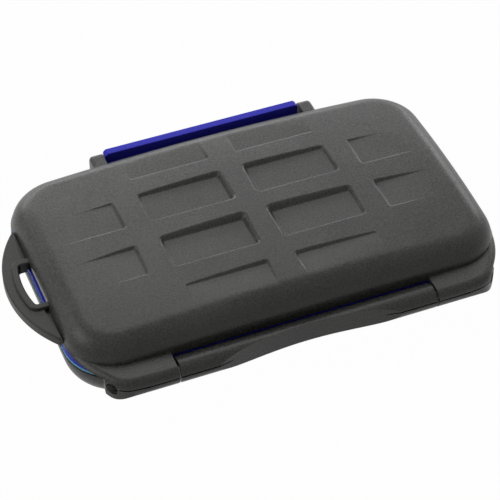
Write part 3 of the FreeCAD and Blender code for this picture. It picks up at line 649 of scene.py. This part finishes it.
# %% Dish of the base
BASE_RIM = 8.5
BASE_RIM_ROUND = 0.15
BASE_ROUND = 7.5
BASE_STEPS = 14
GROOVE_INSET = 1.0
GROOVE_WIDTH = 1.2
GROOVE_DEPTH = 1.2
GROOVE_LEAN = 0.01
BASE_RECESS = 5.6
BASE_LEAN = 0.05

dish = bmesh.new()
under = rounded_plan(dish, 0, BASE_RIM, faces_up=False)
step_in(dish, under, 0.0, BASE_RIM - BASE_ROUND)
inset, level = 0.0, 0.0
for step in range(1, BASE_STEPS + 1):
    turn = math.pi / 2 * step / BASE_STEPS
    next_inset = BASE_ROUND * (1 - math.cos(turn))
    next_level = BASE_ROUND * math.sin(turn)
    step_in(dish, under, next_inset - inset, next_level - level)
    inset, level = next_inset, next_level
rim_face = close_boundary(dish, faces_up=True)
rim_edges = list(rim_face.edges)
step_in(dish, rim_face, GROOVE_INSET, 0)
step_in(dish, rim_face, GROOVE_LEAN, -GROOVE_DEPTH)
step_in(dish, rim_face, GROOVE_WIDTH - 2 * GROOVE_LEAN, 0)
step_in(dish, rim_face, GROOVE_LEAN, GROOVE_DEPTH)
step_in(dish, rim_face, RIM_WALL - GROOVE_INSET - GROOVE_WIDTH, 0)
step_in(dish, rim_face, BASE_LEAN, -BASE_RECESS)
round_edges(dish, rim_edges, BASE_RIM_ROUND, 3)
base_pieces = [finish_piece("base_dish", dish, "base")]
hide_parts("base_shell")

# %% [markdown]
# ## The hinge's barrel
#
# The middle of the hinge belongs to the base. Its section is most of a circle with a groove along the front and a
# web back to the wall, where a low rib stands before the seal. A scoop is cut across its front for a thumb: a
# wide upright drum takes it away, together with the pins' bores.

# %% Barrel and scoop
BARREL_END = 33.0
WEB_ROOT = -31.6
WEB_TOP = 7.6
WEB_LOW = 4.4
LIP_TURN = -12
GROOVE_TURN = 7
SPLASH_RIB = ((-33.95, 7.0), (-33.24, 11.2))
RIB_ROUND = 0.15
SCOOP_DEPTH = 3.0
SCOOP_HALF = 23.5
SCOOP_RADIUS = (SCOOP_HALF ** 2 + SCOOP_DEPTH ** 2) / (2 * SCOOP_DEPTH)
DRUM_SEGMENTS = 720
BORE_START = 18.65

barrel = bmesh.new()
axis_place = (-BARREL_END, HINGE_Y, HINGE_LEVEL)
back_turn = math.degrees(math.asin((HINGE_LEVEL - WEB_TOP) / HINGE_RADIUS))
first = barrel.verts.new((-BARREL_END, WEB_ROOT, WEB_LOW))
vert = walk_to(barrel, first, (-BARREL_END, WEB_ROOT, WEB_TOP))
vert = walk_to(barrel, vert, (-BARREL_END, HINGE_Y + HINGE_RADIUS * math.cos(math.radians(back_turn)), WEB_TOP))
vert = spin_on(barrel, vert, axis_place, back_turn + 180 + LIP_TURN, 90, axis=(1, 0, 0))
for radius, turn, next_turn, steps in ((HINGE_RADIUS - LIP_GROOVE_DEPTH, LIP_TURN, LIP_TURN + GROOVE_TURN, 3),
                                       (HINGE_RADIUS, LIP_TURN + GROOVE_TURN, 90, 24)):
    angle = math.radians(180 + turn)
    place = (-BARREL_END, HINGE_Y + radius * math.cos(angle), HINGE_LEVEL + radius * math.sin(angle))
    vert = walk_to(barrel, vert, place)
    vert = spin_on(barrel, vert, axis_place, next_turn - turn, steps, axis=(1, 0, 0))
barrel.edges.new((vert, first))
extrude_by(barrel, bmesh.ops.edgeloop_fill(barrel, edges=barrel.edges)["faces"], (2 * BARREL_END, 0, 0))
rib = bmesh.new()
box_between(rib, (-BARREL_END, *SPLASH_RIB[0]), (BARREL_END, *SPLASH_RIB[1]))
rib_top = [edge for edge in rib.edges if all(vert.co.z > SPLASH_RIB[1][1] - NEAR for vert in edge.verts)]
round_edges(rib, rib_top, RIB_ROUND, 3)
add_mesh(barrel, rib)
hinge_barrel = finish_piece("hinge_barrel", barrel, "base")
hollows = bmesh.new()
drum_place = Matrix.Translation((0, HINGE_FRONT + SCOOP_DEPTH - SCOOP_RADIUS, HINGE_LEVEL))
bmesh.ops.create_cone(hollows, cap_ends=True, segments=DRUM_SEGMENTS, radius1=SCOOP_RADIUS, radius2=SCOOP_RADIUS,
                      depth=6 * HINGE_RADIUS, matrix=drum_place)
for side in SIDES.values():
    rod_along_x(hollows, side * BORE_START, side * (BARREL_END + OVERRUN), HINGE_Y, HINGE_LEVEL, PIN_BORE)
cut_away(hinge_barrel, hollows)
base_pieces.append(hinge_barrel)

# %% [markdown]
# ## Lugs of the latch
#
# Below the ears the base has two lugs that hold the clip's pin. They are rounded about the pin and along their
# outer side.

# %% Lugs
LUG_ROOT = 30.9
LUG_BACK = 35.9
LUG_LOW = 3.2
LUG_TOP = 8.9
LUG_LOW_ROUND = 1.4
LUG_TOP_ROUND = 1.2
LUG_SIDE_ROUND = 0.5
LATCH_Y = 34.5
LATCH_LEVEL = 4.6
LATCH_BORE = 0.64

for end, side in SIDES.items():
    lug = bmesh.new()
    section_along_x(lug, [(LUG_ROOT, LUG_LOW), (LUG_BACK, LUG_LOW), (LUG_BACK, LUG_TOP), (LUG_ROOT, LUG_TOP)],
                    side * EAR_START, side * EAR_OUT)
    for level, radius in ((LUG_LOW, LUG_LOW_ROUND), (LUG_TOP, LUG_TOP_ROUND)):
        back_edge = [edge for edge in lug.edges
                     if all(vert.co.y > LUG_BACK - NEAR and abs(vert.co.z - level) < NEAR for vert in edge.verts)]
        round_edges(lug, back_edge, radius, 6)
    outer_side = [edge for edge in lug.edges
                  if all(abs(vert.co.x) > EAR_OUT - NEAR for vert in edge.verts)
                  and any(vert.co.y > LUG_ROOT + NEAR for vert in edge.verts)]
    round_edges(lug, outer_side, LUG_SIDE_ROUND, 3)
    piece = finish_piece(f"lug_{end}", lug, "base")
    bore = bmesh.new()
    rod_along_x(bore, side * (EAR_START - OVERRUN), side * (EAR_OUT + OVERRUN), LATCH_Y, LATCH_LEVEL, LATCH_BORE, 32)
    cut_away(piece, bore)
    base_pieces.append(piece)

# %% [markdown]
# ## The seal
#
# A soft blue ring lies in the base's groove. A thin ledge shows in the gap between the halves, painted pale all round
# as a painted highlight for the light that catches it, and a deep blue band above it meets the lid. Each layer is a
# ring cut out of the plan and extruded, with softened edges.

# %% Layers of the seal
SEAL_BAND = ((1.1, 1.0, 7.32, 9.2), (0.2, 2.0, 9.45, 11.35))
SEAL_LEDGE = ((0.02, 2.5, 8.95, 9.55),)
SEAL_ROUND = 0.14
SEAL_CRISP = 1.0


def seal_rings(name, layers):
    """Rings from layers of (inset, width, low, high)."""
    rings = bmesh.new()
    for inset, width, low, high in layers:
        layer = bmesh.new()
        inside = rounded_plan(layer, inset, 0)
        step_in(layer, inside, width, 0)
        layer.faces.remove(inside)
        slab(layer, low, high)
        crisp = [edge for edge in layer.edges if edge.is_manifold and edge.calc_face_angle(0) > SEAL_CRISP]
        round_edges(layer, crisp, SEAL_ROUND, 3)
        add_mesh(rings, layer)
    return finish_piece(name, rings, "base")


seal_band = seal_rings("seal_band", SEAL_BAND)
seal_ledge = seal_rings("seal_ledge", SEAL_LEDGE)
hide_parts("seal_ring")

# %% [markdown]
# ## The clip
#
# The clip is a lever across the back: a barrel on the pin, a flat wall with a hook that catches the lid, and a
# lip at the top for a fingernail. Its section is extruded, its ends are chamfered, every edge is softened and the
# pin's bore is cut.

# %% Clip
CLIP_END = 26.8
CLIP_INSIDE = 33.5
CLIP_TOP = 17.5
CLIP_BARREL = 1.4
HOOK_LOW = 13.15
HOOK_REACH = 31.9
HOOK_NOSE = 0.6
HOOK_HEIGHT = 1.65
CLIP_CHAMFER = 0.7
CLIP_ROUND = 0.22
CLIP_CRISP = 0.6

clip = bmesh.new()
section_along_x(clip, [(CLIP_INSIDE, LATCH_LEVEL), (CLIP_INSIDE, HOOK_LOW), (HOOK_REACH, HOOK_LOW),
                       (HOOK_REACH, HOOK_LOW + HOOK_NOSE), (CLIP_INSIDE, HOOK_LOW + HOOK_HEIGHT),
                       (CLIP_INSIDE, CLIP_TOP), (CLIP_BACK, CLIP_TOP), (CLIP_BACK, LATCH_LEVEL)], -CLIP_END, CLIP_END)
upper_ends = [edge for edge in clip.edges
              if all(vert.co.y > CLIP_INSIDE - NEAR and vert.co.z > CLIP_TOP - NEAR for vert in edge.verts)
              and abs(edge.verts[0].co.x - edge.verts[1].co.x) < NEAR]
round_edges(clip, upper_ends, CLIP_CHAMFER, 1)
crisp = [edge for edge in clip.edges if edge.calc_face_angle(0) > CLIP_CRISP]
round_edges(clip, crisp, CLIP_ROUND, 3)
rod_along_x(clip, -CLIP_END, CLIP_END, LATCH_Y, LATCH_LEVEL, CLIP_BARREL, 48)
latch_lever = finish_piece("latch_lever", clip, "clip")
bore = bmesh.new()
rod_along_x(bore, -CLIP_END - OVERRUN, CLIP_END + OVERRUN, LATCH_Y, LATCH_LEVEL, LATCH_BORE, 32)
cut_away(latch_lever, bore)
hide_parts("latch_clip")

# %% [markdown]
# ## The soft trays
#
# Each half holds a rubber tray with six card recesses and thumb hollows between them. The recesses are cut
# exactly in the solid model, so a merged copy of that mesh is the start, and its edges are rounded as soft rubber
# is.

# %% Trays
TRAY_ROUND = 0.28
TRAY_CRISP = math.radians(40)
FLAT_TURN = math.radians(1)


def soften_tray(node, name, body):
    tray = bmesh.new()
    tray.from_mesh(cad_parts[node].data)
    bmesh.ops.scale(tray, vec=(1 / MM, 1 / MM, 1 / MM), verts=tray.verts)
    bmesh.ops.remove_doubles(tray, verts=tray.verts, dist=0.001)
    bmesh.ops.dissolve_limit(tray, angle_limit=FLAT_TURN, verts=tray.verts, edges=tray.edges, delimit=set())
    crisp = [edge for edge in tray.edges if edge.is_manifold and edge.calc_face_angle(0) > TRAY_CRISP
             and abs(edge.verts[0].co.z - edge.verts[1].co.z) < NEAR]
    round_edges(tray, crisp, TRAY_ROUND, 3)
    piece = finish_piece(name, tray, body)
    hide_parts(node)
    return piece


tray_pieces = [soften_tray("base_tray", "base_liner", "base"), soften_tray("lid_tray", "lid_liner", "lid")]

# %% [markdown]
# ## Flat faces that look flat
#
# Smooth shading blends a rounded edge into the flat face beside it and leaves a false gradient there. The
# weighted normal modifier lets the larger faces decide, and its result is written back. The dome stays as it is,
# since it is curved all over.


# %% Weighted normals
def settle_normals(piece):
    modifier = piece.modifiers.new("settle", "WEIGHTED_NORMAL")
    modifier.mode = "FACE_AREA"
    modifier.weight = 100
    modifier.keep_sharp = True
    write_back(piece)


settled = [*lid_pieces[1:], lanyard_loop, *base_pieces[1:], latch_lever, *tray_pieces]
for piece in settled:
    settle_normals(piece)
print(f"{len(settled)} pieces with settled normals")

# %% [markdown]
# ## Grained grey plastic
#
# The shells are moulded in dark grey plastic with a fine spark grain that takes the shine off. Two noises make
# it: a fine one for the grain's bump and roughness, and a broad faint one that keeps the grey from being even.
# The loop's mould is smoother, and its grey is painted darker, as painted shade for the shadow that the lid's wall
# casts on it. The flat in its slot has hardly any grain and is painted lighter, as painted light for the light
# that falls on that wall through the slot. One function makes all three.

# %% Plastic of the shells
CLOUD_SCALE = 60
CLOUD_SHARE = 0.25
TONE_SPAN = (0.36, 0.64)
BUMP_STRENGTH = 0.6


def new_material(name):
    material = bpy.data.materials.new(name)
    material.use_nodes = True
    nodes = material.node_tree.nodes
    return material, nodes, material.node_tree.links, nodes["Principled BSDF"]


def noise(nodes, links, coordinates, scale, detail=2.0, roughness=0.5):
    texture = nodes.new("ShaderNodeTexNoise")
    texture.inputs["Scale"].default_value = scale
    texture.inputs["Detail"].default_value = detail
    texture.inputs["Roughness"].default_value = roughness
    links.new(coordinates.outputs["Object"], texture.inputs["Vector"])
    return texture


def ramp(nodes, links, source, stops):
    """Colour ramp over a factor, from (position, colour) stops."""
    node = nodes.new("ShaderNodeValToRGB")
    elements = node.color_ramp.elements
    for element, (position, colour) in zip((elements[0], elements[1]), (stops[0], stops[-1])):
        element.position = position
        element.color = (*colour, 1)
    for position, colour in stops[1:-1]:
        elements.new(position).color = (*colour, 1)
    links.new(source, node.inputs["Fac"])
    return node


def grained_plastic(name, dark, light, grain_scale, grain_height, roughness, shine):
    """Plastic between two tones. The grain's height is in metres, and the roughness is a pair, from low to high."""
    material, nodes, links, shader = new_material(name)
    coordinates = nodes.new("ShaderNodeTexCoord")
    grain = noise(nodes, links, coordinates, grain_scale, 2, 0.6)
    cloud = noise(nodes, links, coordinates, CLOUD_SCALE, 3)
    speckle = nodes.new("ShaderNodeMix")
    speckle.inputs["Factor"].default_value = CLOUD_SHARE
    links.new(grain.outputs["Fac"], speckle.inputs["A"])
    links.new(cloud.outputs["Fac"], speckle.inputs["B"])
    colour = ramp(nodes, links, speckle.outputs["Result"], ((TONE_SPAN[0], dark), (TONE_SPAN[1], light)))
    links.new(colour.outputs["Color"], shader.inputs["Base Color"])
    spread = nodes.new("ShaderNodeMapRange")
    spread.inputs["To Min"].default_value, spread.inputs["To Max"].default_value = roughness
    links.new(grain.outputs["Fac"], spread.inputs["Value"])
    links.new(spread.outputs["Result"], shader.inputs["Roughness"])
    shader.inputs["Specular IOR Level"].default_value = shine
    bump = nodes.new("ShaderNodeBump")
    bump.inputs["Strength"].default_value = BUMP_STRENGTH
    bump.inputs["Distance"].default_value = grain_height
    links.new(grain.outputs["Fac"], bump.inputs["Height"])
    links.new(bump.outputs["Normal"], shader.inputs["Normal"])
    return material


def dress(pieces, material):
    for piece in pieces:
        piece.data.materials.clear()
        piece.data.materials.append(material)
    print(f"{material.name}: {[piece.name for piece in pieces]}")


shell_grey = grained_plastic("grained_grey_plastic", (0.02, 0.0205, 0.02), (0.1, 0.101, 0.098),
                             grain_scale=2000, grain_height=0.00009, roughness=(0.3, 0.46), shine=0.38)
dress(lid_pieces + base_pieces, shell_grey)
# The loop's grey is painted darker than the shells': painted shade for the shadow of the lid's wall on the loop.
loop_grey_painted_shade = grained_plastic("grey_plastic_painted_shade", (0.02, 0.02, 0.019), (0.05, 0.05, 0.048),
                            grain_scale=2200, grain_height=0.00004, roughness=(0.34, 0.5), shine=0.3)
dress([lanyard_loop], loop_grey_painted_shade)
# The flat's grey is painted lighter than the shells': painted light for the light that falls on that wall through the
# slot.
flat_grey_painted_light = grained_plastic("smooth_grey_plastic_painted_light", (0.085, 0.085, 0.08), (0.1, 0.1, 0.095),
                            grain_scale=900, grain_height=0.00002, roughness=(0.18, 0.26), shine=0.6)
dress([slot_flat], flat_grey_painted_light)

# %% [markdown]
# ## Blue plastic, blue silicone, black rubber and steel
#
# The clip is a satin blue plastic and the seal's band a softer silicone of nearly the same blue. The seal's thin ledge
# is painted a pale blue, as a painted highlight. The trays are a black rubber that hardly shines. The pins are drawn
# wire, so their noise is stretched along them.

# %% The other finishes
clip_blue = grained_plastic("satin_blue_plastic", (0.055, 0.055, 0.8), (0.07, 0.07, 0.95),
                            grain_scale=1800, grain_height=0.00004, roughness=(0.35, 0.5), shine=0.12)
dress([latch_lever], clip_blue)
seal_blue = grained_plastic("soft_blue_silicone", (0.025, 0.03, 0.7), (0.035, 0.04, 0.85),
                            grain_scale=900, grain_height=0.00005, roughness=(0.35, 0.5), shine=0.12)
dress([seal_band], seal_blue)
# The ledge's pale blue is a painted highlight for the light that catches the ledge.
ledge_blue_painted_highlight = grained_plastic("pale_blue_silicone_painted_highlight", (0.2, 0.6, 0.95), (0.26, 0.7, 1.0),
                             grain_scale=900, grain_height=0.00005, roughness=(0.35, 0.5), shine=0.4)
dress([seal_ledge], ledge_blue_painted_highlight)
tray_black = grained_plastic("soft_black_rubber", (0.018, 0.018, 0.019), (0.032, 0.032, 0.033),
                             grain_scale=1500, grain_height=0.0001, roughness=(0.6, 0.8), shine=0.3)
dress(tray_pieces, tray_black)

# %% Steel of the pins
WIRE_STRETCH = (40, 4000, 4000)
WIRE_TONES = ((0.3, (0.5, 0.5, 0.51)), (0.7, (0.62, 0.62, 0.63)))


def drawn_wire(name):
    material, nodes, links, shader = new_material(name)
    coordinates = nodes.new("ShaderNodeTexCoord")
    stretch = nodes.new("ShaderNodeMapping")
    stretch.inputs["Scale"].default_value = WIRE_STRETCH
    links.new(coordinates.outputs["Object"], stretch.inputs["Vector"])
    lines = nodes.new("ShaderNodeTexNoise")
    lines.inputs["Scale"].default_value = 1.0
    links.new(stretch.outputs["Vector"], lines.inputs["Vector"])
    tone = ramp(nodes, links, lines.outputs["Fac"], WIRE_TONES)
    links.new(tone.outputs["Color"], shader.inputs["Base Color"])
    shader.inputs["Metallic"].default_value = 1.0
    shader.inputs["Roughness"].default_value = 0.32
    return material


PINS = ("hinge_pin_left", "hinge_pin_right", "latch_pin")
dress([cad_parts[node] for node in PINS], drawn_wire("drawn_steel_wire"))

# %% [markdown]
# ## Floor, light and camera
#
# The portrait is taken on a white table. One broad lamp hangs above and behind the case, two low ones behind it
# and at its right draw light lines along the bricks' edges, and a small one at the left keeps that end from going
# black. Nothing shines from in front, so the front wall falls into shadow. The floor is paper: for the camera
# most of it glows, which keeps it white, and the rest still takes the case's shadow.

# %% Floor and world
FLOOR_HALF = 3.0
FLOOR_DROP = 0.0002
PAPER_TONE = 0.4
GLOW_SHARE = 0.985
ROOM_TINT = (0.96, 0.97, 0.8)
ROOM_STRENGTH = 0.05

paper = bmesh.new()
bmesh.ops.create_grid(paper, x_segments=1, y_segments=1, size=FLOOR_HALF)
bmesh.ops.translate(paper, vec=(0, 0, -FLOOR_DROP), verts=paper.verts)
floor_mesh = bpy.data.meshes.new("floor")
paper.to_mesh(floor_mesh)
paper.free()
floor = bpy.data.objects.new("floor", floor_mesh)
bpy.context.scene.collection.objects.link(floor)


def seen_directly(nodes, links):
    """One where the ray comes from the camera, a reflection or through glass, and zero for light that bounces."""
    path = nodes.new("ShaderNodeLightPath")
    first = nodes.new("ShaderNodeMath")
    first.operation = "MAXIMUM"
    links.new(path.outputs["Is Camera Ray"], first.inputs[0])
    links.new(path.outputs["Is Glossy Ray"], first.inputs[1])
    second = nodes.new("ShaderNodeMath")
    second.operation = "MAXIMUM"
    links.new(first.outputs["Value"], second.inputs[0])
    links.new(path.outputs["Is Transmission Ray"], second.inputs[1])
    return second


white_paper, nodes, links, shader = new_material("white_paper")
shader.inputs["Base Color"].default_value = (PAPER_TONE, PAPER_TONE, PAPER_TONE, 1)
shader.inputs["Roughness"].default_value = 0.9
shader.inputs["Specular IOR Level"].default_value = 0.0
glow = nodes.new("ShaderNodeEmission")
mix = nodes.new("ShaderNodeMixShader")
direct = seen_directly(nodes, links)
share = nodes.new("ShaderNodeMath")
share.operation = "MULTIPLY"
share.inputs[1].default_value = GLOW_SHARE
links.new(direct.outputs["Value"], share.inputs[0])
links.new(share.outputs["Value"], mix.inputs["Fac"])
links.new(shader.outputs["BSDF"], mix.inputs[1])
links.new(glow.outputs["Emission"], mix.inputs[2])
links.new(mix.outputs["Shader"], nodes["Material Output"].inputs["Surface"])
floor.data.materials.append(white_paper)

world = bpy.data.worlds.new("studio")
bpy.context.scene.world = world
world.use_nodes = True
nodes, links = world.node_tree.nodes, world.node_tree.links
room = nodes["Background"]
room.inputs["Color"].default_value = (*ROOM_TINT, 1)
room.inputs["Strength"].default_value = ROOM_STRENGTH
backdrop = nodes.new("ShaderNodeBackground")
backdrop.inputs["Strength"].default_value = 1.0
direct = seen_directly(nodes, links)
choose = nodes.new("ShaderNodeMixShader")
links.new(direct.outputs["Value"], choose.inputs["Fac"])
links.new(room.outputs["Background"], choose.inputs[1])
links.new(backdrop.outputs["Background"], choose.inputs[2])
links.new(choose.outputs["Shader"], nodes["World Output"].inputs["Surface"])
print("floor and world are white for the camera")


# %% Lamps
WHITE = (1, 1, 1)
WARM = (1.0, 0.98, 0.94)


def soft_lamp(name, place, size, watts, colour=WHITE):
    """A rectangle of light that faces the origin."""
    lamp = bpy.data.lights.new(name, "AREA")
    lamp.shape = "RECTANGLE"
    lamp.size, lamp.size_y = size
    lamp.energy = watts
    lamp.color = colour
    holder = bpy.data.objects.new(name, lamp)
    holder.location = place
    holder.rotation_euler = (-Vector(place)).to_track_quat("-Z", "Y").to_euler()
    bpy.context.scene.collection.objects.link(holder)
    print(f"{name}: {watts} W at {place}")


soft_lamp("lamp_top", (0.1, 0.55, 0.8), (0.6, 0.5), 1.85)
soft_lamp("lamp_behind", (0.0, 1.0, 0.28), (1.0, 0.2), 3.1)
soft_lamp("lamp_right", (0.8, 0.65, 0.3), (0.6, 0.2), 2.2)
soft_lamp("lamp_left", (-0.65, 0.15, 0.42), (0.4, 0.4), 1.4, WARM)

# %% Camera
CAMERA_PLACE = (-0.1365, -0.34, 0.36235)
LOOK_DOWN = 44.361
LOOK_RIGHT = 21.839
SENSOR = 36.0
LENS = 145.5

camera_data = bpy.data.cameras.new("camera")
camera_data.sensor_width = SENSOR
camera_data.lens = LENS
camera = bpy.data.objects.new("camera", camera_data)
camera.location = CAMERA_PLACE
camera.rotation_euler = (math.radians(90 - LOOK_DOWN), 0, math.radians(-LOOK_RIGHT))
bpy.context.scene.collection.objects.link(camera)
bpy.context.scene.camera = camera
bpy.context.scene.view_settings.view_transform = "Standard"
print("camera at", [round(value, 4) for value in camera.location])
